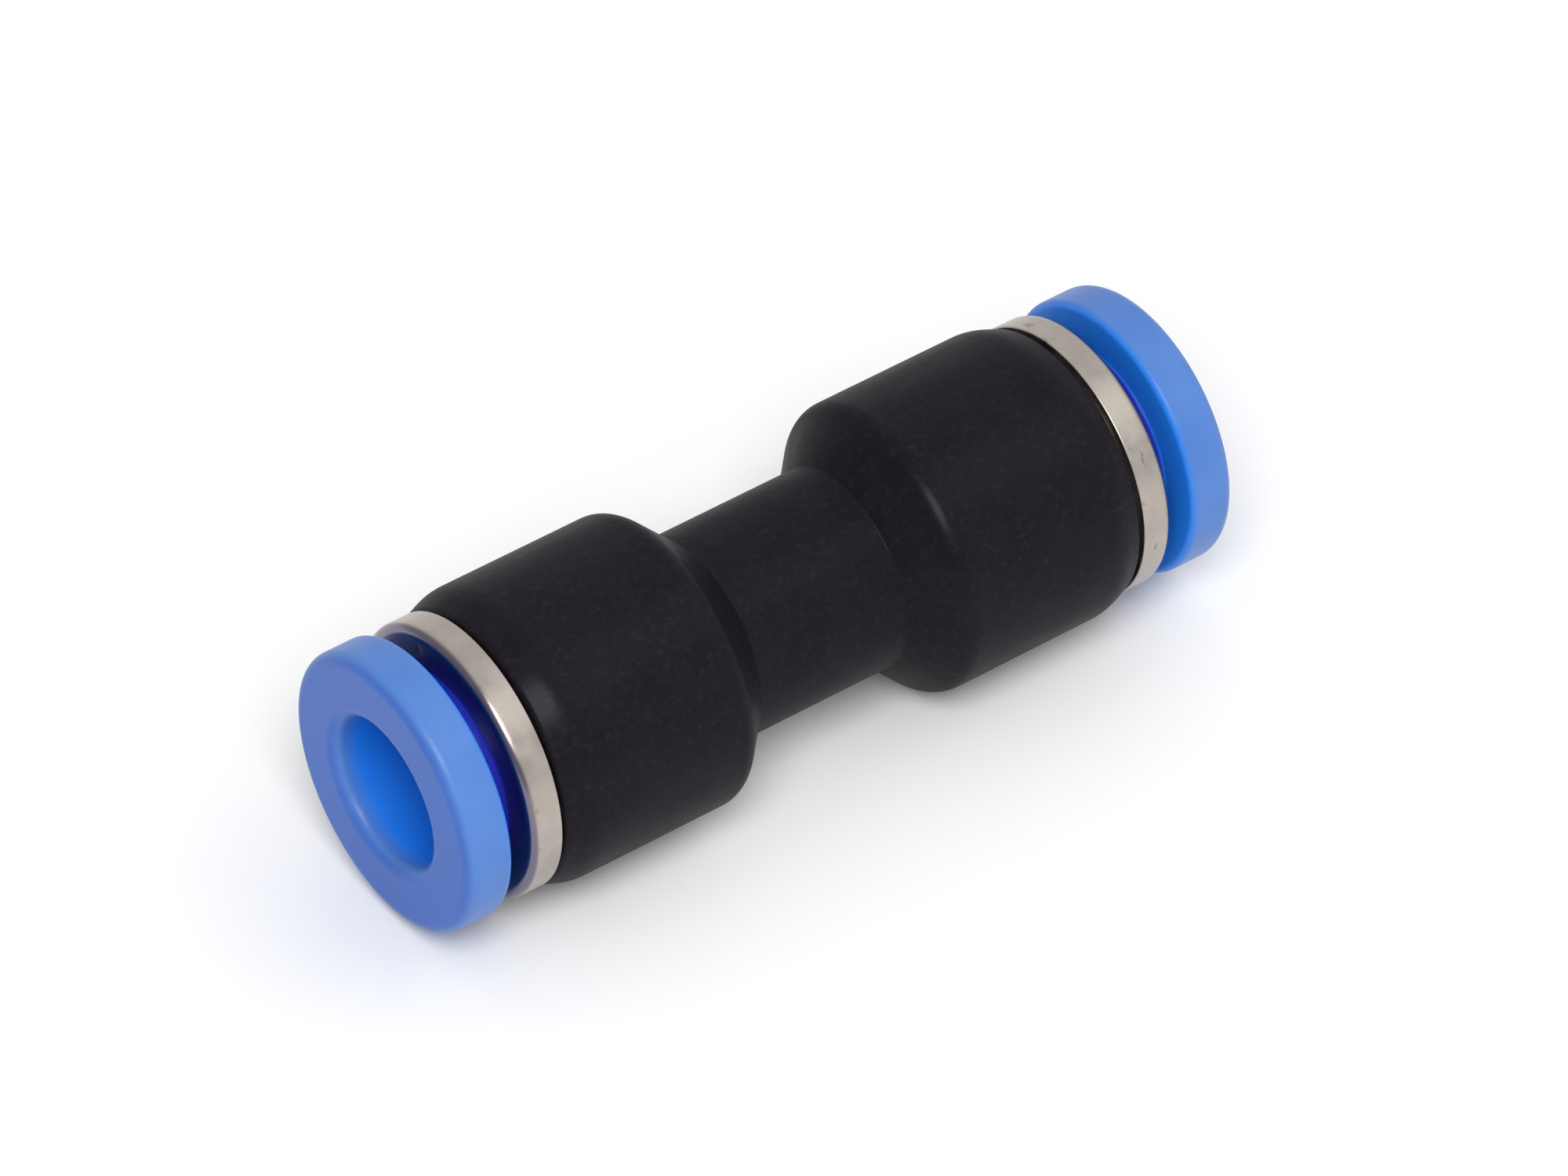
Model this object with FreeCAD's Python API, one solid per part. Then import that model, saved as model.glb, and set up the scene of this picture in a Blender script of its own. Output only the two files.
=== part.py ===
import FreeCAD, Part
import math
import os

# Push-in coupling: a straight union that joins two lengths of 6 mm tube.
# Frame: X along the tube axis, Z up, origin at the middle of the coupling on the tube axis.
# Both ends are alike. Each end is drawn once, on the +X side, and mirrored for the left.
# In every outline a corner is (x, r) or (x, r, rounding): x along the axis from the middle,
# r out from the axis. All dimensions are in millimetres.

# ---- driving dimensions -------------------------------------------------------------------
TUBE_POCKET_R = 3.08       # bore that a 6 mm tube slides into, in the collar and in the body
FLOW_BORE_R = 2.0          # passage between the two tubes
TUBE_STOP_X = 2.2          # shoulder that the end of the tube meets

BODY_R = 6.0               # round ends of the body
NECK_R = 4.17              # narrow waist
NECK_HALF = 3.4            # half the length of the waist
SHOULDER_X = 5.12          # where the shoulder cone reaches the full radius
SHOULDER_ROUND = 0.95
NECK_ROUND = 0.08
TAPER_X = 12.3             # the last stretch before the mouth draws in a little
TAPER_ROUND = 2.4
MOUTH_X = 13.42
MOUTH_R = 5.58
MOUTH_ROUND = 0.33

SEAL_SEAT_X = 5.4          # counterbore for the seal
SEAL_SEAT_R = 4.6
CAGE_SEAT_X = 7.4          # wider counterbore for the backing ring, claw and guide ring
CAGE_SEAT_R = 5.1
LEAD_IN = 0.25             # chamfer where the tube enters the pocket

COLLAR_FACE_X = 17.82      # outer face of the release collar
COLLAR_FLANGE_R = 5.7
COLLAR_TRAVEL = 0.7        # how far the collar is pressed in
COLLAR_HOME_GAP = 0.21     # left between the flange and the guide ring when it is pressed home
COLLAR_FRONT_ROUND = 0.5
COLLAR_BACK_ROUND = 0.27
COLLAR_LIP_ROUND = 0.5     # rounding of the bore's mouth
COLLAR_SLEEVE_R = 4.0
COLLAR_NOSE_X = 9.55       # inner end, which pushes on the claw
COLLAR_NOSE_R = 3.35
BEAD_R = 4.42              # snap bead that keeps the collar in the guide ring
BEAD_FRONT_X = 10.85
BEAD_BACK_X = 11.45
SLOT_COUNT = 4             # slots that let the snap bead close up on assembly
SLOT_WIDTH = 0.8
SLOT_END_X = 12.5

GUIDE_FLANGE_R = 5.62
GUIDE_BACK_X = 13.55       # leaves a fine groove between the flange and the body's mouth
GUIDE_FRONT_X = 14.91
GUIDE_FRONT_ROUND = 0.38
GUIDE_EDGE_ROUND = 0.06
GUIDE_MOUTH_ROUND = 0.2
GUIDE_BORE_R = 4.08        # running fit on the collar's sleeve
GUIDE_CHAMBER_R = 4.7      # room for the snap bead
GUIDE_LIP_X = 11.55

CLAW_THICKNESS = 0.25
CLAW_RIM_X = 9.66          # inner face of the flat rim
CLAW_RIM_R = 5.05
CLAW_RIM_BORE_R = 4.35
CLAW_NOTCH_R = 4.565       # flat bottom of the notch that each tongue springs from
CLAW_NOTCH_WIDTH = 2.4
TONGUE_COUNT = 8
TONGUE_HINGE_R = 4.4
TONGUE_TILT = 38.0         # degrees between a tongue and the rim's plane, at rest
TONGUE_OPENING = 15.0      # degrees that a tongue bends when the collar is pressed home
TONGUE_ROOT_WIDTH = 2.2
TONGUE_TIP_WIDTH = 1.7
TONGUE_BITE_R = 2.9        # circle through the biting edges, smaller than the tube

BACKING_CLEARANCE = 0.34   # from the middle plane of an open tongue to the backing ring's cone
BACKING_BORE_R = 3.3

SEAL_LIP_R = 2.9           # smaller than the tube, so that the lip grips it
SEAL_LIP_ROUND = 0.3
SEAL_EDGE_ROUND = 0.15
SEAL_LENGTH = 1.8
SEAL_BORE_R = 3.4
SEAL_FLOOR_GAP = 0.1       # between the seal and the bottom of its counterbore
GROOVE_DEPTH = 0.7         # vee groove that lets air pressure spread the lip
GROOVE_HALF_WIDTH = 0.22

SMALL_ROUND = 0.1          # broken edges of the small inner pieces

AXIS = FreeCAD.Vector(1, 0, 0)
ORIGIN = FreeCAD.Vector(0, 0, 0)


# ---- helpers ------------------------------------------------------------------------------
def point(x, r):
    """A point of an outline, in the half plane above the tube axis."""
    return FreeCAD.Vector(x, 0, r)


def rounded_corner(before, corner, after, radius):
    """Start, middle and end of the arc that rounds one corner of an outline."""
    to_before = (before - corner).normalize()
    to_after = (after - corner).normalize()
    half_angle = to_before.getAngle(to_after) / 2
    setback = radius / math.tan(half_angle)
    inward = (to_before + to_after).normalize()
    middle = corner + inward * (radius / math.sin(half_angle) - radius)
    return corner + to_before * setback, middle, corner + to_after * setback


def outline_wire(corners):
    """Closed wire through the corners, with an arc at each corner that has a rounding."""
    places = [point(corner[0], corner[1]) for corner in corners]
    edges = []
    ends = []
    for index, corner in enumerate(corners):
        place = places[index]
        if len(corner) == 2:
            ends.append((place, place))
            continue
        before = places[index - 1]
        after = places[(index + 1) % len(places)]
        start, middle, end = rounded_corner(before, place, after, corner[2])
        edges.append(Part.Arc(start, middle, end).toShape())
        ends.append((start, end))
    for index, (_, leaving) in enumerate(ends):
        arriving = ends[(index + 1) % len(ends)][0]
        if leaving.distanceToPoint(arriving) > 1e-6:
            edges.append(Part.LineSegment(leaving, arriving).toShape())
    return Part.Wire(Part.__sortEdges__(edges))


def turned(corners):
    """Solid of revolution about the tube axis."""
    solid = Part.Face(outline_wire(corners)).revolve(ORIGIN, AXIS, 360)
    if solid.Volume < 0:
        solid.reverse()
    return solid


def mirrored(corners):
    """The same corners on the -X side, in the order that closes the outline."""
    return [(-corner[0],) + tuple(corner[1:]) for corner in reversed(corners)]


def around_axis(shape, count, first_angle=0.0):
    """Copies of a shape, evenly spaced about the tube axis."""
    copies = []
    for index in range(count):
        copy = shape.copy()
        copy.rotate(ORIGIN, AXIS, first_angle + 360.0 * index / count)
        copies.append(copy)
    return copies


# ---- body ---------------------------------------------------------------------------------
def make_body():
    """Moulded body: waist, shoulders and two barrels, bored in steps from each mouth."""
    half = [
        (NECK_HALF, NECK_R, NECK_ROUND),
        (SHOULDER_X, BODY_R, SHOULDER_ROUND),
        (TAPER_X, BODY_R, TAPER_ROUND),
        (MOUTH_X, MOUTH_R, MOUTH_ROUND),
        (MOUTH_X, CAGE_SEAT_R),
        (CAGE_SEAT_X, CAGE_SEAT_R),
        (CAGE_SEAT_X, SEAL_SEAT_R),
        (SEAL_SEAT_X, SEAL_SEAT_R),
        (SEAL_SEAT_X, TUBE_POCKET_R + LEAD_IN),
        (SEAL_SEAT_X - LEAD_IN, TUBE_POCKET_R),
        (TUBE_STOP_X, TUBE_POCKET_R),
        (TUBE_STOP_X, FLOW_BORE_R),
    ]
    return turned(half + mirrored(half))


# ---- seal ---------------------------------------------------------------------------------
def make_seal():
    """Rubber lip seal: a grooved ring whose rounded lip grips the tube."""
    inner_x = SEAL_SEAT_X + SEAL_FLOOR_GAP
    outer_x = inner_x + SEAL_LENGTH
    lip_x = (inner_x + outer_x) / 2
    groove_r = (SEAL_SEAT_R + SEAL_BORE_R) / 2
    return turned([
        (inner_x, SEAL_SEAT_R, SEAL_EDGE_ROUND),
        (outer_x, SEAL_SEAT_R, SEAL_EDGE_ROUND),
        (outer_x, SEAL_BORE_R, SEAL_EDGE_ROUND),
        (lip_x, SEAL_LIP_R, SEAL_LIP_ROUND),
        (inner_x, SEAL_BORE_R, SMALL_ROUND),
        (inner_x, groove_r - GROOVE_HALF_WIDTH),
        (inner_x + GROOVE_DEPTH, groove_r),
        (inner_x, groove_r + GROOVE_HALF_WIDTH),
    ])


# ---- backing ring -------------------------------------------------------------------------
def make_backing_ring():
    """Plastic ring behind the claw. Its cone leaves room for the open tongues."""
    open_tilt = math.radians(TONGUE_TILT + TONGUE_OPENING)
    hinge_x = CLAW_RIM_X + CLAW_THICKNESS / 2
    cone_top_x = hinge_x - BACKING_CLEARANCE * math.cos(open_tilt)
    cone_top_r = TONGUE_HINGE_R + BACKING_CLEARANCE * math.sin(open_tilt)
    front_r = cone_top_r + (CLAW_RIM_X - cone_top_x) / math.tan(open_tilt)
    cone_end_x = CLAW_RIM_X - (front_r - BACKING_BORE_R) * math.tan(open_tilt)
    return turned([
        (CAGE_SEAT_X, BACKING_BORE_R),
        (CAGE_SEAT_X, CLAW_RIM_R, SMALL_ROUND),
        (CLAW_RIM_X, CLAW_RIM_R),
        (CLAW_RIM_X, front_r),
        (cone_end_x, BACKING_BORE_R),
    ])


# ---- lock claw ----------------------------------------------------------------------------
def make_claw_rim():
    """Flat rim of the stamped claw, with a notch where each tongue springs from it."""
    outer_x = CLAW_RIM_X + CLAW_THICKNESS
    rim = turned([
        (CLAW_RIM_X, CLAW_RIM_BORE_R),
        (CLAW_RIM_X, CLAW_RIM_R),
        (outer_x, CLAW_RIM_R),
        (outer_x, CLAW_RIM_BORE_R),
    ])
    notch_corner = FreeCAD.Vector(CLAW_RIM_X - CLAW_THICKNESS, -CLAW_NOTCH_WIDTH / 2, 0)
    notch = Part.makeBox(3 * CLAW_THICKNESS, CLAW_NOTCH_WIDTH, CLAW_NOTCH_R, notch_corner)
    for cutter in around_axis(notch, TONGUE_COUNT):
        rim = rim.cut(cutter)
    return rim


def make_tongue():
    """One claw tongue above the axis: a flat strip, round at its root, sharp at its bite."""
    half = CLAW_THICKNESS / 2
    reach = TONGUE_HINGE_R
    root = TONGUE_ROOT_WIDTH / 2
    taper_per_mm = (TONGUE_ROOT_WIDTH - TONGUE_TIP_WIDTH) / 2 / (TONGUE_HINGE_R - TONGUE_BITE_R)
    tip = root - taper_per_mm * reach
    flat = Part.makePolygon([
        FreeCAD.Vector(-half, -root, 0),
        FreeCAD.Vector(-half, -tip, -reach),
        FreeCAD.Vector(-half, tip, -reach),
        FreeCAD.Vector(-half, root, 0),
        FreeCAD.Vector(-half, -root, 0),
    ])
    strip = Part.Face(flat).extrude(FreeCAD.Vector(CLAW_THICKNESS, 0, 0))
    bend = Part.makeCylinder(half, TONGUE_ROOT_WIDTH, FreeCAD.Vector(0, -root, 0),
                             FreeCAD.Vector(0, 1, 0))
    tongue = strip.fuse(bend).removeSplitter()
    tongue.rotate(ORIGIN, FreeCAD.Vector(0, 1, 0), TONGUE_TILT)
    tongue.translate(FreeCAD.Vector(CLAW_RIM_X + half, 0, TONGUE_HINGE_R))
    bite = Part.makeCylinder(TONGUE_BITE_R, 2 * COLLAR_FACE_X, ORIGIN, AXIS)
    below = Part.makeBox(2 * COLLAR_FACE_X, 4 * BODY_R, 2 * BODY_R,
                         FreeCAD.Vector(0, -2 * BODY_R, -2 * BODY_R))
    return tongue.cut(bite).cut(below)


# ---- guide ring ---------------------------------------------------------------------------
def make_guide_ring():
    """Turned metal ring: a sleeve pressed into the body, a flange, and the collar's bore."""
    inner_x = CLAW_RIM_X + CLAW_THICKNESS
    return turned([
        (inner_x, GUIDE_CHAMBER_R),
        (inner_x, CAGE_SEAT_R, SMALL_ROUND),
        (GUIDE_BACK_X, CAGE_SEAT_R),
        (GUIDE_BACK_X, GUIDE_FLANGE_R, GUIDE_EDGE_ROUND),
        (GUIDE_FRONT_X, GUIDE_FLANGE_R, GUIDE_FRONT_ROUND),
        (GUIDE_FRONT_X, GUIDE_BORE_R, GUIDE_MOUTH_ROUND),
        (GUIDE_LIP_X, GUIDE_BORE_R, SMALL_ROUND),
        (GUIDE_LIP_X, GUIDE_CHAMBER_R),
    ])


# ---- release collar -----------------------------------------------------------------------
def make_collar():
    """Release collar: push flange, sleeve, snap bead and a tapered nose slotted into fingers."""
    flange_back_x = GUIDE_FRONT_X + COLLAR_HOME_GAP + COLLAR_TRAVEL
    bead_rise = BEAD_R - COLLAR_SLEEVE_R
    collar = turned([
        (COLLAR_NOSE_X, TUBE_POCKET_R),
        (COLLAR_NOSE_X, COLLAR_NOSE_R, SMALL_ROUND),
        (BEAD_FRONT_X - bead_rise, COLLAR_SLEEVE_R),
        (BEAD_FRONT_X, BEAD_R, SMALL_ROUND),
        (BEAD_BACK_X, BEAD_R, SMALL_ROUND),
        (BEAD_BACK_X, COLLAR_SLEEVE_R),
        (flange_back_x, COLLAR_SLEEVE_R, SMALL_ROUND),
        (flange_back_x, COLLAR_FLANGE_R, COLLAR_BACK_ROUND),
        (COLLAR_FACE_X, COLLAR_FLANGE_R, COLLAR_FRONT_ROUND),
        (COLLAR_FACE_X, TUBE_POCKET_R, COLLAR_LIP_ROUND),
    ])
    slot_corner = FreeCAD.Vector(COLLAR_NOSE_X - SLOT_WIDTH, -SLOT_WIDTH / 2, 0)
    slot_length = SLOT_END_X - slot_corner.x
    slot = Part.makeBox(slot_length, SLOT_WIDTH, COLLAR_FLANGE_R, slot_corner)
    slot_end = Part.makeCylinder(SLOT_WIDTH / 2, COLLAR_FLANGE_R, FreeCAD.Vector(SLOT_END_X, 0, 0),
                                 FreeCAD.Vector(0, 0, 1))
    slot_tool = slot.fuse(slot_end).removeSplitter()
    for cutter in around_axis(slot_tool, SLOT_COUNT, 45.0):
        collar = collar.cut(cutter)
    return collar


# ---- assembly -----------------------------------------------------------------------------
def save(name, shape):
    """Write one node and say what it is."""
    shape.exportStep(os.path.join("parts", name + ".step"))
    print(name, "volume", round(shape.Volume, 3), "valid", shape.isValid(),
          "solids", len(shape.Solids))


def save_pair(name, shape):
    """Write a piece of the right end, and its mirror image at the left end."""
    save(name.format(side="right"), shape)
    save(name.format(side="left"), shape.mirror(ORIGIN, AXIS))


def main():
    os.makedirs("parts", exist_ok=True)
    save("body", make_body())
    save_pair("tube_seal_{side}", make_seal())
    save_pair("backing_ring_{side}", make_backing_ring())
    save_pair("lock_claw_rim_{side}", make_claw_rim())
    for number, tongue in enumerate(around_axis(make_tongue(), TONGUE_COUNT), start=1):
        save_pair("lock_claw_tongue_{side}_" + str(number), tongue)
    save_pair("guide_ring_{side}", make_guide_ring())
    save_pair("release_collar_{side}", make_collar())


main()
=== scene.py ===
import math

import bmesh
import bpy
from mathutils import Matrix, Vector


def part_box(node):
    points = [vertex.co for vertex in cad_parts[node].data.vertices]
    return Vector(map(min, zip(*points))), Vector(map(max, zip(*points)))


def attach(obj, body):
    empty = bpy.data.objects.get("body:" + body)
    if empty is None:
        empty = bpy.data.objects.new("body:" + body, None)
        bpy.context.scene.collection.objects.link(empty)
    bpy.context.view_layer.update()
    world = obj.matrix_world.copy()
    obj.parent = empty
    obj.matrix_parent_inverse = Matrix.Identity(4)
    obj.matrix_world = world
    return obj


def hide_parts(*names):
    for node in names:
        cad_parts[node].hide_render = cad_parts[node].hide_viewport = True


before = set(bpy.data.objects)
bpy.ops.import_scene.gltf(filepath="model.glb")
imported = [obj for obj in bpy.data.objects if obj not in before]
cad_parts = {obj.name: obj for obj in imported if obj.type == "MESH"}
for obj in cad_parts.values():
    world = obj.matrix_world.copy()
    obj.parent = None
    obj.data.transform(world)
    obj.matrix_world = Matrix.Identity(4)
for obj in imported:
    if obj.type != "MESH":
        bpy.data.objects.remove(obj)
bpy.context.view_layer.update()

# Looks of a push-in tube coupling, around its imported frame. X is the tube axis, Z is up.
# Outlines are half sections: (x, r) or (x, r, rounding) in metres, x from the middle of the
# coupling and r out from the axis. Every turned piece is drawn on the +X side.

MM = 0.001
SIDES = ("right", "left")

# ---- sizes read from the frame ------------------------------------------------------------
BODY_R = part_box("body")[1].z
MOUTH_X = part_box("body")[1].x
RING_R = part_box("guide_ring_right")[1].z
RING_FRONT_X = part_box("guide_ring_right")[1].x
RING_INNER_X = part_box("guide_ring_right")[0].x
COLLAR_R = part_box("release_collar_right")[1].z
COLLAR_FACE_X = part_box("release_collar_right")[1].x
COLLAR_NOSE_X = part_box("release_collar_right")[0].x
SEAL_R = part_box("tube_seal_right")[1].z
SEAL_X = (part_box("tube_seal_right")[0].x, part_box("tube_seal_right")[1].x)
BACKING_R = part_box("backing_ring_right")[1].z
BACKING_X = (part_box("backing_ring_right")[0].x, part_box("backing_ring_right")[1].x)

# ---- sizes inside the pieces, as the frame has them ----------------------------------------
TUBE_R = 3.08 * MM
FLOW_R = 2.0 * MM
STOP_X = 2.2 * MM
NECK_R = 4.17 * MM
NECK_X = 3.4 * MM
NECK_ROUND = 0.08 * MM
SHOULDER_X = 5.12 * MM
SHOULDER_ROUND = 0.95 * MM
TAPER_X = 12.3 * MM
TAPER_ROUND = 2.4 * MM
MOUTH_R = 5.58 * MM
MOUTH_ROUND = 0.33 * MM
SEAL_SEAT_X = 5.4 * MM
CAGE_SEAT_X = 7.4 * MM
CAGE_SEAT_R = 5.1 * MM
LEAD_IN = 0.25 * MM
SLEEVE_R = 4.0 * MM
FLANGE_X = 15.82 * MM
FLANGE_BACK_ROUND = 0.27 * MM
FLANGE_FRONT_ROUND = 0.5 * MM
LIP_ROUND = 0.5 * MM
NOSE_R = 3.35 * MM
BEAD_R = 4.42 * MM
BEAD_X = (10.85 * MM, 11.45 * MM)
RING_BACK_X = 13.55 * MM
RING_BACK_ROUND = 0.06 * MM
RING_FRONT_ROUND = 0.38 * MM
RING_MOUTH_ROUND = 0.2 * MM
RING_BORE_R = 4.08 * MM
CHAMBER_R = 4.7 * MM
LIP_X = 11.55 * MM
SLOT_WIDTH = 0.8 * MM
SLOT_END_X = 12.5 * MM
SLOT_ANGLES = (45, 135)  # degrees; each bar of the saw cuts two slots
SEAL_BORE_R = 3.4 * MM
SEAL_LIP_R = 2.9 * MM
SEAL_LIP_ROUND = 0.3 * MM
SEAL_EDGE_ROUND = 0.15 * MM
GROOVE_R = 4.0 * MM
GROOVE_HALF_WIDTH = 0.22 * MM
GROOVE_DEPTH = 0.7 * MM
BACKING_BORE_R = 3.3 * MM
BACKING_CONE_R = 4.73 * MM   # where the cone meets the ring's front face
BACKING_CONE_X = 7.76 * MM   # where the cone meets the ring's bore
SMALL_ROUND = 0.1 * MM
FINE_ROUND = 0.04 * MM

SEGMENTS = 256          # faces round a turned piece
ARC_STEPS = 8           # faces across a rounded edge
CREASE_ANGLE = math.radians(32)
EDGE_LOOP = 0.02 * MM   # loops this close to an arc keep the flats beside it shading flat
WELD = 0.001 * MM       # points nearer than this after a cut become one


# ---- turned pieces --------------------------------------------------------------------------
def arc_points(before, corner, after, radius):
    """Points of the arc that rounds a corner, with one point just outside each of its ends."""
    to_before = (before - corner).normalized()
    to_after = (after - corner).normalized()
    half_angle = to_before.angle(to_after) / 2
    setback = radius / math.tan(half_angle)
    inward = (to_before + to_after).normalized()
    centre = corner + inward * (radius / math.sin(half_angle))
    start = corner + to_before * setback - centre
    end = corner + to_after * setback - centre
    sweep = start.angle_signed(end)
    points = []
    for step in range(ARC_STEPS + 1):
        spoke = start.copy()
        spoke.rotate(Matrix.Rotation(-sweep * step / ARC_STEPS, 2))
        points.append(centre + spoke)
    lead = points[0] + to_before * EDGE_LOOP
    trail = points[-1] + to_after * EDGE_LOOP
    return [lead] + points + [trail]


def outline_points(corners):
    """The outline with its rounded corners drawn out."""
    places = [Vector((corner[0], corner[1])) for corner in corners]
    points = []
    for index, corner in enumerate(corners):
        if len(corner) == 2:
            points.append(places[index])
            continue
        after = places[(index + 1) % len(places)]
        points.extend(arc_points(places[index - 1], places[index], after, corner[2]))
    return points


def turned_mesh(name, corners):
    """A closed mesh that sweeps the outline round the X axis."""
    outline = outline_points(corners)
    bm = bmesh.new()
    rings = []
    for step in range(SEGMENTS):
        angle = 2 * math.pi * step / SEGMENTS
        y, z = math.sin(angle), math.cos(angle)
        rings.append([bm.verts.new((p.x, p.y * y, p.y * z)) for p in outline])
    count = len(outline)
    for step, ring in enumerate(rings):
        following = rings[(step + 1) % SEGMENTS]
        for index in range(count):
            ahead = (index + 1) % count
            bm.faces.new((ring[index], ring[ahead], following[ahead], following[index]))
    bmesh.ops.recalc_face_normals(bm, faces=bm.faces)
    mesh = bpy.data.meshes.new(name)
    bm.to_mesh(mesh)
    bm.free()
    mesh.polygons.foreach_set("use_smooth", [True] * len(mesh.polygons))
    mesh.set_sharp_from_angle(angle=CREASE_ANGLE)
    piece = bpy.data.objects.new(name, mesh)
    bpy.context.scene.collection.objects.link(piece)
    return piece


def mirror_mesh(piece):
    """Turns a right-hand piece into a left-hand one."""
    bm = bmesh.new()
    bm.from_mesh(piece.data)
    bmesh.ops.scale(bm, vec=(-1, 1, 1), verts=bm.verts)
    bmesh.ops.reverse_faces(bm, faces=bm.faces)
    bm.to_mesh(piece.data)
    bm.free()
    piece.data.set_sharp_from_angle(angle=CREASE_ANGLE)


def cut_away(piece, cutter):
    """Subtracts a closed mesh from a piece, cleans the cut's edges and throws the cutter away."""
    boolean = piece.modifiers.new("cut", "BOOLEAN")
    boolean.operation = "DIFFERENCE"
    boolean.solver = "EXACT"
    boolean.object = cutter
    bpy.context.view_layer.update()
    evaluated = piece.evaluated_get(bpy.context.evaluated_depsgraph_get())
    mesh = bpy.data.meshes.new_from_object(evaluated)
    bm = bmesh.new()
    bm.from_mesh(mesh)
    bmesh.ops.remove_doubles(bm, verts=bm.verts, dist=WELD)
    bmesh.ops.dissolve_degenerate(bm, edges=bm.edges, dist=WELD)
    many_sided = [face for face in bm.faces if len(face.verts) > 4]
    bmesh.ops.triangulate(bm, faces=many_sided, ngon_method="BEAUTY")
    bm.to_mesh(mesh)
    bm.free()
    piece.modifiers.clear()
    piece.data = mesh
    bpy.data.objects.remove(cutter)
    mesh.set_sharp_from_angle(angle=CREASE_ANGLE)


# ---- materials ------------------------------------------------------------------------------
# Colours are linear RGB. A pair is the two ends of a slow cloudy variation.
BODY_BLACK = ((0.0050, 0.0038, 0.0070), (0.0078, 0.0062, 0.0104))
BODY_FLECK = (0.0122, 0.0104, 0.0158)
RIM_BLUE = ((0.066, 0.176, 0.500), (0.084, 0.206, 0.555))
# Painted shade: the collar's end face gets a darker blue than its rim, for the light that face gets
# less of.
FACE_BLUE_PAINTED_SHADE = ((0.036, 0.120, 0.460), (0.046, 0.136, 0.500))
# Painted shade: a deeper, more saturated blue for the recesses down the bore and on the flange's
# back.
RECESS_BLUE_PAINTED_SHADE = (0.015, 0.205, 0.800)
# Painted shade: a dark navy on the sleeve, which sits in the shadowed gap behind the flange.
SLEEVE_PAINTED_SHADE = (0.016, 0.026, 0.430)
NICKEL = ((0.415, 0.370, 0.327), (0.500, 0.458, 0.414))
NICKEL_NICK = (0.300, 0.265, 0.230)
# Painted shade and reflection: a dark violet-grey on the ring's front edge, for the shadowed gap and
# the dark blue collar it reflects.
NICKEL_FRONT_PAINTED_SHADE_AND_REFLECTION = (0.195, 0.172, 0.225)
STEEL = ((0.52, 0.51, 0.49), (0.62, 0.61, 0.59))
ACETAL_WHITE = ((0.66, 0.64, 0.58), (0.74, 0.72, 0.67))
RUBBER_BLACK = ((0.010, 0.010, 0.011), (0.022, 0.022, 0.024))
FLOOR_WHITE = ((0.90, 0.90, 0.90), (0.92, 0.92, 0.92))

NOISE_MIDDLE = (0.3, 0.7)   # nearly all of a noise's values lie between these

# Where the collar's and the ring's colours change: the start and end of each soft edge.
FACE_EDGE_X = (COLLAR_FACE_X - 0.25 * MM, COLLAR_FACE_X - 0.05 * MM)
BORE_EDGE_R = (TUBE_R + 0.02 * MM, TUBE_R + 0.3 * MM)
BORE_DEPTH_X = (COLLAR_FACE_X - 1.1 * MM, COLLAR_FACE_X - 0.4 * MM)
FLANGE_BACK_X = (FLANGE_X, FLANGE_X + FLANGE_BACK_ROUND)
SLEEVE_EDGE_X = (FLANGE_X - 0.08 * MM, FLANGE_X - 0.01 * MM)
RING_EDGE_X = (RING_FRONT_X - 0.32 * MM, RING_FRONT_X - 0.2 * MM)


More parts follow.
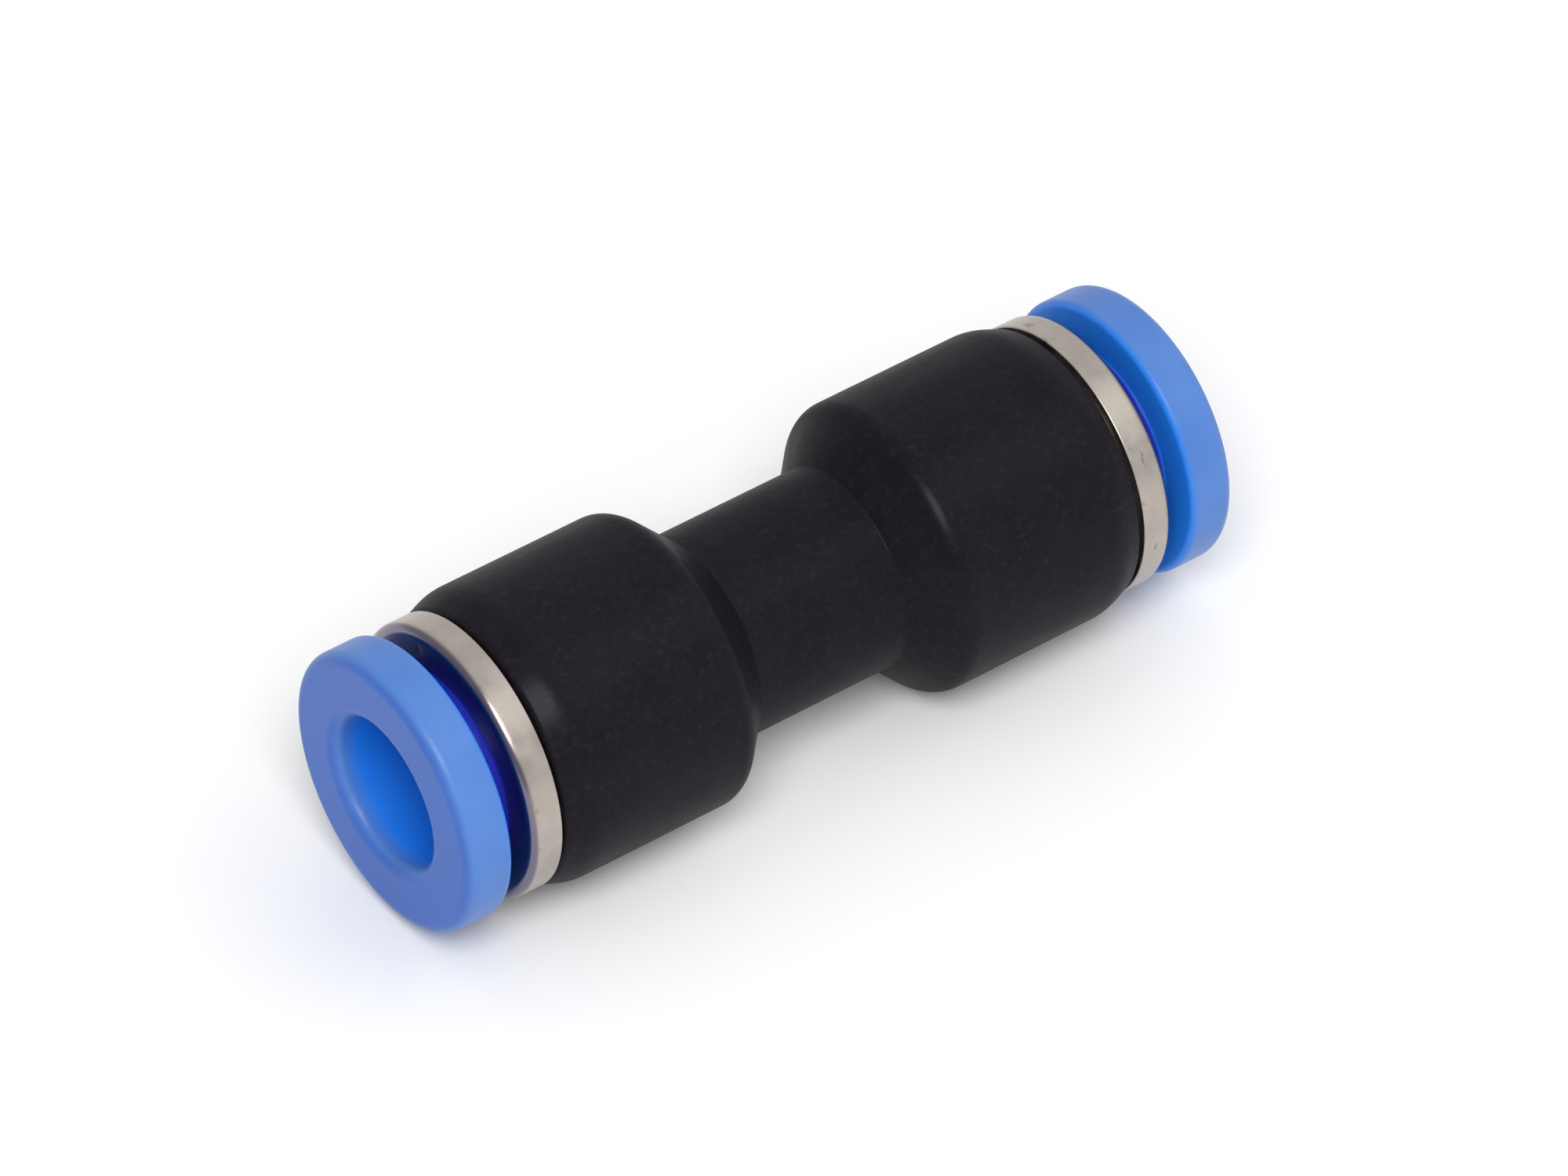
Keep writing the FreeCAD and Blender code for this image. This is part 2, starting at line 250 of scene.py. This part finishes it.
class Nodes:
    """A material's node tree, with short ways to add nodes and join them."""

    def __init__(self, name):
        self.material = bpy.data.materials.new(name)
        self.material.use_nodes = True
        self.tree = self.material.node_tree
        self.shader = self.tree.nodes["Principled BSDF"]
        self.place = self.add("ShaderNodeTexCoord").outputs["Object"]

    def add(self, kind, **settings):
        node = self.tree.nodes.new(kind)
        for key, value in settings.items():
            setattr(node, key, value)
        return node

    def put(self, socket, value):
        if isinstance(value, bpy.types.NodeSocket):
            self.tree.links.new(value, socket)
        else:
            socket.default_value = value

    def math(self, operation, *values):
        node = self.add("ShaderNodeMath", operation=operation)
        for socket, value in zip(node.inputs, values):
            self.put(socket, value)
        return node.outputs[0]

    def scaled(self, vector, scale):
        node = self.add("ShaderNodeVectorMath", operation="MULTIPLY")
        self.put(node.inputs[0], vector)
        node.inputs[1].default_value = scale
        return node.outputs[0]

    def noise(self, vector, scale, detail, roughness):
        node = self.add("ShaderNodeTexNoise")
        self.put(node.inputs["Vector"], vector)
        node.inputs["Scale"].default_value = scale
        node.inputs["Detail"].default_value = detail
        node.inputs["Roughness"].default_value = roughness
        return node.outputs["Fac"]

    def spread(self, value, low, high, to_low, to_high):
        node = self.add("ShaderNodeMapRange")
        for socket, number in zip(node.inputs, (value, low, high, to_low, to_high)):
            self.put(socket, number)
        return node.outputs[0]

    def stretched(self, noise):
        """The middle of a noise, where nearly all of it lies, drawn out to run from 0 to 1."""
        return self.spread(noise, *NOISE_MIDDLE, 0, 1)

    def blend_colours(self, factor, first, second):
        node = self.add("ShaderNodeMix", data_type="RGBA")
        self.put(node.inputs["Factor"], factor)
        self.put(node.inputs["A"], (*first, 1) if isinstance(first, tuple) else first)
        self.put(node.inputs["B"], (*second, 1) if isinstance(second, tuple) else second)
        return node.outputs["Result"]

    def bump(self, height, strength, distance, under=None):
        node = self.add("ShaderNodeBump")
        node.inputs["Strength"].default_value = strength
        node.inputs["Distance"].default_value = distance
        self.put(node.inputs["Height"], height)
        if under is not None:
            self.put(node.inputs["Normal"], under)
        return node.outputs["Normal"]

    def along_and_out(self):
        """How far a point is from the middle along the axis, and how far out from the axis."""
        parts = self.add("ShaderNodeSeparateXYZ")
        self.put(parts.inputs[0], self.place)
        across = self.add("ShaderNodeCombineXYZ")
        self.put(across.inputs[1], parts.outputs[1])
        self.put(across.inputs[2], parts.outputs[2])
        length = self.add("ShaderNodeVectorMath", operation="LENGTH")
        self.put(length.inputs[0], across.outputs[0])
        return self.math("ABSOLUTE", parts.outputs[0]), length.outputs["Value"]

    def joined(self, x, y):
        node = self.add("ShaderNodeCombineXYZ")
        self.put(node.inputs[0], x)
        self.put(node.inputs[1], y)
        return node.outputs[0]


def body_plastic():
    """Black glass-filled polyester: satin, with a fine moulded grain, pale flecks and flow marks."""
    m = Nodes("black_moulded_plastic")
    cloud = m.stretched(m.noise(m.place, 420.0, 4.0, 0.6))
    flecks = m.spread(m.noise(m.place, 3200.0, 3.0, 0.65), 0.52, 0.72, 0, 1)
    flow = m.noise(m.scaled(m.place, (0.25, 1.0, 1.0)), 900.0, 3.0, 0.55)
    grain = m.noise(m.place, 5200.0, 3.0, 0.6)
    black = m.blend_colours(cloud, *BODY_BLACK)
    m.put(m.shader.inputs["Base Color"], m.blend_colours(flecks, black, BODY_FLECK))
    m.put(m.shader.inputs["Roughness"], m.spread(flow, *NOISE_MIDDLE, 0.52, 0.62))
    m.shader.inputs["IOR"].default_value = 1.15
    m.shader.inputs["Coat Weight"].default_value = 0.11
    m.shader.inputs["Coat Roughness"].default_value = 0.25
    m.put(m.shader.inputs["Normal"], m.bump(grain, 1.0, 0.03 * MM))
    return m.material


def collar_plastic():
    """Blue acetal with a slow cloudy tone, and painted shade: the end face darker than the rim, a
    deeper blue down the bore and on the flange's back, and a dark navy on the hidden sleeve.
    """
    m = Nodes("blue_acetal")
    along, out = m.along_and_out()
    cloud = m.stretched(m.noise(m.place, 360.0, 4.0, 0.55))
    grain = m.noise(m.place, 4200.0, 3.0, 0.55)
    rim = m.blend_colours(cloud, *RIM_BLUE)
    # Painted shade: the end face is coloured darker than the rim.
    face = m.blend_colours(cloud, *FACE_BLUE_PAINTED_SHADE)
    on_face = m.spread(along, *FACE_EDGE_X, 0, 1)
    rim_and_painted_face_shade = m.blend_colours(on_face, rim, face)
    outside = m.spread(out, *BORE_EDGE_R, 0, 1)
    down_bore = m.spread(along, *BORE_DEPTH_X, 1, 0)
    in_bore = m.math("MULTIPLY", down_bore, m.math("SUBTRACT", 1.0, outside))
    behind = m.spread(along, *FLANGE_BACK_X, 1, 0)
    # Painted shade: deeper blue down the bore and on the flange's back.
    with_painted_recess_shade = m.blend_colours(m.math("MAXIMUM", in_bore, behind), rim_and_painted_face_shade, RECESS_BLUE_PAINTED_SHADE)
    # Painted shade: the sleeve is coloured dark navy.
    on_sleeve = m.spread(along, *SLEEVE_EDGE_X, 1, 0)
    m.put(m.shader.inputs["Base Color"],
          m.blend_colours(m.math("MULTIPLY", on_sleeve, outside), with_painted_recess_shade, SLEEVE_PAINTED_SHADE))
    m.put(m.shader.inputs["Roughness"], m.spread(cloud, 0, 1, 0.38, 0.48))
    m.shader.inputs["IOR"].default_value = 1.3
    m.shader.inputs["Coat Weight"].default_value = 0.15
    m.shader.inputs["Coat Roughness"].default_value = 0.24
    m.put(m.shader.inputs["Normal"], m.bump(grain, 0.6, 0.026 * MM))
    return m.material


def plated_brass():
    """Nickel over turned brass: a warm grey satin band with a few nicks, and painted shade and
    reflection on the front edge.
    """
    m = Nodes("nickel_plated_brass")
    along, out = m.along_and_out()
    lines = m.noise(m.joined(along, out), 7000.0, 2.0, 0.6)
    cloud = m.stretched(m.noise(m.place, 900.0, 4.0, 0.6))
    nicks = m.spread(m.noise(m.scaled(m.place, (1.0, 0.5, 0.5)), 2100.0, 2.0, 0.5), 0.67, 0.75, 0, 1)
    # Painted shade and reflection: the front edge is coloured a dark violet-grey.
    front = m.spread(along, *RING_EDGE_X, 0, 1)
    band = m.blend_colours(cloud, *NICKEL)
    marked = m.blend_colours(nicks, band, NICKEL_NICK)
    m.put(m.shader.inputs["Base Color"], m.blend_colours(front, marked, NICKEL_FRONT_PAINTED_SHADE_AND_REFLECTION))
    m.shader.inputs["Metallic"].default_value = 1.0
    satin = m.spread(cloud, 0, 1, 0.28, 0.40)
    m.put(m.shader.inputs["Roughness"], m.math("MULTIPLY", satin, m.spread(front, 0, 1, 1, 0.7)))
    relief = m.bump(lines, 0.2, 0.006 * MM)
    m.put(m.shader.inputs["Normal"], m.bump(m.math("SUBTRACT", 1.0, nicks), 0.4, 0.02 * MM, relief))
    return m.material


def spring_steel():
    """Stamped stainless strip: rolled grain and a slow cloudy tone."""
    m = Nodes("stainless_spring_strip")
    grain = m.noise(m.scaled(m.place, (1.0, 1.0, 0.12)), 15000.0, 3.0, 0.6)
    cloud = m.noise(m.place, 600.0, 2.0, 0.5)
    m.put(m.shader.inputs["Base Color"], m.blend_colours(m.stretched(cloud), *STEEL))
    m.shader.inputs["Metallic"].default_value = 1.0
    m.put(m.shader.inputs["Roughness"], m.spread(grain, *NOISE_MIDDLE, 0.26, 0.42))
    m.put(m.shader.inputs["Normal"], m.bump(grain, 0.2, 0.004 * MM))
    return m.material


def natural_acetal():
    """Undyed acetal of the backing ring: milky white, slightly mottled."""
    m = Nodes("natural_acetal")
    cloud = m.noise(m.place, 500.0, 3.0, 0.5)
    grain = m.noise(m.place, 8000.0, 2.0, 0.5)
    m.put(m.shader.inputs["Base Color"], m.blend_colours(m.stretched(cloud), *ACETAL_WHITE))
    m.put(m.shader.inputs["Roughness"], m.spread(cloud, *NOISE_MIDDLE, 0.38, 0.5))
    m.put(m.shader.inputs["Normal"], m.bump(grain, 0.2, 0.01 * MM))
    return m.material


def seal_rubber():
    """Nitrile rubber: matt black with a soft bloom."""
    m = Nodes("nitrile_rubber")
    cloud = m.noise(m.place, 700.0, 3.0, 0.5)
    grain = m.noise(m.place, 12000.0, 3.0, 0.6)
    m.put(m.shader.inputs["Base Color"], m.blend_colours(m.stretched(cloud), *RUBBER_BLACK))
    m.put(m.shader.inputs["Roughness"], m.spread(cloud, *NOISE_MIDDLE, 0.62, 0.78))
    m.put(m.shader.inputs["Normal"], m.bump(grain, 0.3, 0.012 * MM))
    return m.material


def studio_floor():
    """White paper, very slightly uneven."""
    m = Nodes("studio_floor")
    cloud = m.noise(m.place, 6.0, 2.0, 0.5)
    m.put(m.shader.inputs["Base Color"], m.blend_colours(m.stretched(cloud), *FLOOR_WHITE))
    m.shader.inputs["Roughness"].default_value = 0.8
    return m.material


# ---- pieces ---------------------------------------------------------------------------------
CLAW_EDGE_WIDTH = 0.02 * MM
CLAW_EDGE_STEPS = 2
CLAW_EDGE_ANGLE = math.radians(40)   # edges sharper than this are softened


def finish_piece(piece, body, node, material):
    piece.data.materials.clear()
    piece.data.materials.append(material)
    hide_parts(node)
    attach(piece, body)


def make_body(material):
    """Moulded body, whole: both barrels, the waist, and the stepped bores."""
    half = [
        (NECK_X, NECK_R, NECK_ROUND),
        (SHOULDER_X, BODY_R, SHOULDER_ROUND),
        (TAPER_X, BODY_R, TAPER_ROUND),
        (MOUTH_X, MOUTH_R, MOUTH_ROUND),
        (MOUTH_X, CAGE_SEAT_R),
        (CAGE_SEAT_X, CAGE_SEAT_R),
        (CAGE_SEAT_X, SEAL_R),
        (SEAL_SEAT_X, SEAL_R),
        (SEAL_SEAT_X, TUBE_R + LEAD_IN),
        (SEAL_SEAT_X - LEAD_IN, TUBE_R),
        (STOP_X, TUBE_R),
        (STOP_X, FLOW_R),
    ]
    other = [(-corner[0],) + corner[1:] for corner in reversed(half)]
    piece = turned_mesh("moulded_body", half + other)
    finish_piece(piece, "housing", "body", material)


def make_guide_ring(side, material):
    """Plated ring: the flange that shows at the mouth, and the sleeve inside the body."""
    piece = turned_mesh("plated_guide_ring_" + side, [
        (RING_INNER_X, CHAMBER_R),
        (RING_INNER_X, CAGE_SEAT_R, SMALL_ROUND),
        (RING_BACK_X, CAGE_SEAT_R),
        (RING_BACK_X, RING_R, RING_BACK_ROUND),
        (RING_FRONT_X, RING_R, RING_FRONT_ROUND),
        (RING_FRONT_X, RING_BORE_R, RING_MOUTH_ROUND),
        (LIP_X, RING_BORE_R, SMALL_ROUND),
        (LIP_X, CHAMBER_R),
    ])
    if side == "left":
        mirror_mesh(piece)
    finish_piece(piece, "housing", "guide_ring_" + side, material)


def slot_bar(degrees):
    """A bar across the axis with a round end, which saws two slots into the collar's sleeve."""
    half = SLOT_WIDTH / 2
    corners = [(COLLAR_NOSE_X - MM, -half)]
    for step in range(2 * ARC_STEPS + 1):
        angle = math.pi * (step / (2 * ARC_STEPS) - 0.5)
        corners.append((SLOT_END_X + half * math.cos(angle), half * math.sin(angle)))
    corners.append((COLLAR_NOSE_X - MM, half))
    bm = bmesh.new()
    outline = bm.faces.new([bm.verts.new((x, y, -COLLAR_R)) for x, y in corners])
    grown = bmesh.ops.extrude_face_region(bm, geom=[outline])["geom"]
    top = [part for part in grown if isinstance(part, bmesh.types.BMVert)]
    bmesh.ops.translate(bm, vec=(0, 0, 2 * COLLAR_R), verts=top)
    bmesh.ops.recalc_face_normals(bm, faces=bm.faces)
    bmesh.ops.rotate(bm, matrix=Matrix.Rotation(math.radians(degrees), 3, "X"), verts=bm.verts)
    mesh = bpy.data.meshes.new("slot_bar")
    bm.to_mesh(mesh)
    bm.free()
    bar = bpy.data.objects.new("slot_bar", mesh)
    bpy.context.scene.collection.objects.link(bar)
    return bar


def make_release_collar(side, material):
    """Blue collar: push flange, sleeve with snap bead, tapered nose, four slots."""
    bead_rise = BEAD_R - SLEEVE_R
    piece = turned_mesh("blue_release_collar_" + side, [
        (COLLAR_NOSE_X, TUBE_R),
        (COLLAR_NOSE_X, NOSE_R, SMALL_ROUND),
        (BEAD_X[0] - bead_rise, SLEEVE_R),
        (BEAD_X[0], BEAD_R, SMALL_ROUND),
        (BEAD_X[1], BEAD_R, SMALL_ROUND),
        (BEAD_X[1], SLEEVE_R),
        (FLANGE_X, SLEEVE_R, SMALL_ROUND),
        (FLANGE_X, COLLAR_R, FLANGE_BACK_ROUND),
        (COLLAR_FACE_X, COLLAR_R, FLANGE_FRONT_ROUND),
        (COLLAR_FACE_X, TUBE_R, LIP_ROUND),
    ])
    for degrees in SLOT_ANGLES:
        cut_away(piece, slot_bar(degrees))
    if side == "left":
        mirror_mesh(piece)
    finish_piece(piece, "collar_" + side, "release_collar_" + side, material)


def make_seal(side, material):
    """Rubber lip seal: a rounded lip that grips the tube, and a vee groove on its inner face."""
    inner_x, outer_x = SEAL_X
    piece = turned_mesh("rubber_lip_seal_" + side, [
        (inner_x, SEAL_R, SEAL_EDGE_ROUND),
        (outer_x, SEAL_R, SEAL_EDGE_ROUND),
        (outer_x, SEAL_BORE_R, SEAL_EDGE_ROUND),
        ((inner_x + outer_x) / 2, SEAL_LIP_R, SEAL_LIP_ROUND),
        (inner_x, SEAL_BORE_R, SMALL_ROUND),
        (inner_x, GROOVE_R - GROOVE_HALF_WIDTH, FINE_ROUND),
        (inner_x + GROOVE_DEPTH, GROOVE_R, FINE_ROUND),
        (inner_x, GROOVE_R + GROOVE_HALF_WIDTH, FINE_ROUND),
    ])
    if side == "left":
        mirror_mesh(piece)
    finish_piece(piece, "housing", "tube_seal_" + side, material)


def make_backing_ring(side, material):
    """Acetal ring behind the claw, with the cone that the open tongues lie along."""
    inner_x, outer_x = BACKING_X
    piece = turned_mesh("acetal_backing_ring_" + side, [
        (inner_x, BACKING_BORE_R, FINE_ROUND),
        (inner_x, BACKING_R, SMALL_ROUND),
        (outer_x, BACKING_R, FINE_ROUND),
        (outer_x, BACKING_CONE_R, FINE_ROUND),
        (BACKING_CONE_X, BACKING_BORE_R, FINE_ROUND),
    ])
    if side == "left":
        mirror_mesh(piece)
    finish_piece(piece, "housing", "backing_ring_" + side, material)


def dress_claws(material):
    """The stamped claws keep their frame shapes. They get a material and softened edges."""
    for name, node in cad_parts.items():
        if name.startswith("lock_claw"):
            node.data.materials.clear()
            node.data.materials.append(material)
            edge = node.modifiers.new("soft_edges", "BEVEL")
            edge.width = CLAW_EDGE_WIDTH
            edge.segments = CLAW_EDGE_STEPS
            edge.limit_method = "ANGLE"
            edge.angle_limit = CLAW_EDGE_ANGLE


# ---- studio ---------------------------------------------------------------------------------
CAMERA_AZIMUTH = math.radians(-36.394)
CAMERA_ELEVATION = math.radians(42.231)
CAMERA_DISTANCE = 0.406
CAMERA_LENS = 247.4     # millimetres
CAMERA_CLIP = (0.01, 20.0)
TARGET_RIGHT = 0.559 * MM
TARGET_UP = 0.584 * MM
KEY_AZIMUTH = math.radians(-36)
KEY_ELEVATION = math.radians(51)
KEY_DISTANCE = 0.45
KEY_SIZE = 0.24
KEY_POWER = 1.34
FILL_AZIMUTH = math.radians(50)
FILL_ELEVATION = math.radians(55)
FILL_DISTANCE = 0.8
FILL_SIZE = 0.5
FILL_POWER = 0.36
SKY_LEFT = 0.35
SKY_RIGHT = 1.0
FLOOR_HALF_WIDTH = 3.0
FLOOR_CELLS = 8


def view_axes(azimuth, elevation):
    """Right, up and back of a camera that looks at the object from there."""
    back = Vector((math.sin(azimuth) * math.cos(elevation),
                   -math.cos(azimuth) * math.cos(elevation),
                   math.sin(elevation)))
    right = Vector((math.cos(azimuth), math.sin(azimuth), 0))
    return right, back.cross(right), back


def aim(thing, place, target):
    thing.location = place
    thing.rotation_euler = (place - target).to_track_quat("Z", "Y").to_euler()


def make_camera():
    data = bpy.data.cameras.new("camera")
    data.lens = CAMERA_LENS
    data.clip_start, data.clip_end = CAMERA_CLIP
    camera = bpy.data.objects.new("camera", data)
    bpy.context.scene.collection.objects.link(camera)
    right, up, back = view_axes(CAMERA_AZIMUTH, CAMERA_ELEVATION)
    target = right * TARGET_RIGHT + up * TARGET_UP
    aim(camera, target + back * CAMERA_DISTANCE, target)
    bpy.context.scene.camera = camera


def make_light(name, azimuth, elevation, distance, size, power):
    data = bpy.data.lights.new(name, "AREA")
    data.shape = "DISK"
    data.size = size
    data.energy = power
    light = bpy.data.objects.new(name, data)
    bpy.context.scene.collection.objects.link(light)
    back = view_axes(azimuth, elevation)[2]
    aim(light, back * distance, Vector((0, 0, 0)))


def make_world():
    """White surroundings, a little dimmer on the left than on the right."""
    world = bpy.data.worlds.new("studio")
    world.use_nodes = True
    tree = world.node_tree
    direction = tree.nodes.new("ShaderNodeTexCoord").outputs["Generated"]
    parts = tree.nodes.new("ShaderNodeSeparateXYZ")
    tree.links.new(direction, parts.inputs[0])
    strength = tree.nodes.new("ShaderNodeMapRange")
    tree.links.new(parts.outputs["X"], strength.inputs["Value"])
    strength.inputs["From Min"].default_value = -1.0
    strength.inputs["From Max"].default_value = 1.0
    strength.inputs["To Min"].default_value = SKY_LEFT
    strength.inputs["To Max"].default_value = SKY_RIGHT
    background = tree.nodes["Background"]
    background.inputs["Color"].default_value = (1.0, 1.0, 1.0, 1.0)
    tree.links.new(strength.outputs["Result"], background.inputs["Strength"])
    bpy.context.scene.world = world


def make_studio(floor_material):
    bm = bmesh.new()
    bmesh.ops.create_grid(bm, x_segments=FLOOR_CELLS, y_segments=FLOOR_CELLS, size=FLOOR_HALF_WIDTH)
    mesh = bpy.data.meshes.new("floor")
    bm.to_mesh(mesh)
    bm.free()
    mesh.materials.append(floor_material)
    floor = bpy.data.objects.new("floor", mesh)
    floor.location.z = -BODY_R
    bpy.context.scene.collection.objects.link(floor)

    make_world()
    make_light("key", KEY_AZIMUTH, KEY_ELEVATION, KEY_DISTANCE, KEY_SIZE, KEY_POWER)
    make_light("fill", FILL_AZIMUTH, FILL_ELEVATION, FILL_DISTANCE, FILL_SIZE, FILL_POWER)
    bpy.context.scene.view_settings.view_transform = "Standard"


# ---- assembly -------------------------------------------------------------------------------
make_camera()
make_body(body_plastic())
brass = plated_brass()
blue = collar_plastic()
rubber = seal_rubber()
acetal = natural_acetal()
for side in SIDES:
    make_guide_ring(side, brass)
    make_release_collar(side, blue)
    make_seal(side, rubber)
    make_backing_ring(side, acetal)
dress_claws(spring_steel())
make_studio(studio_floor())
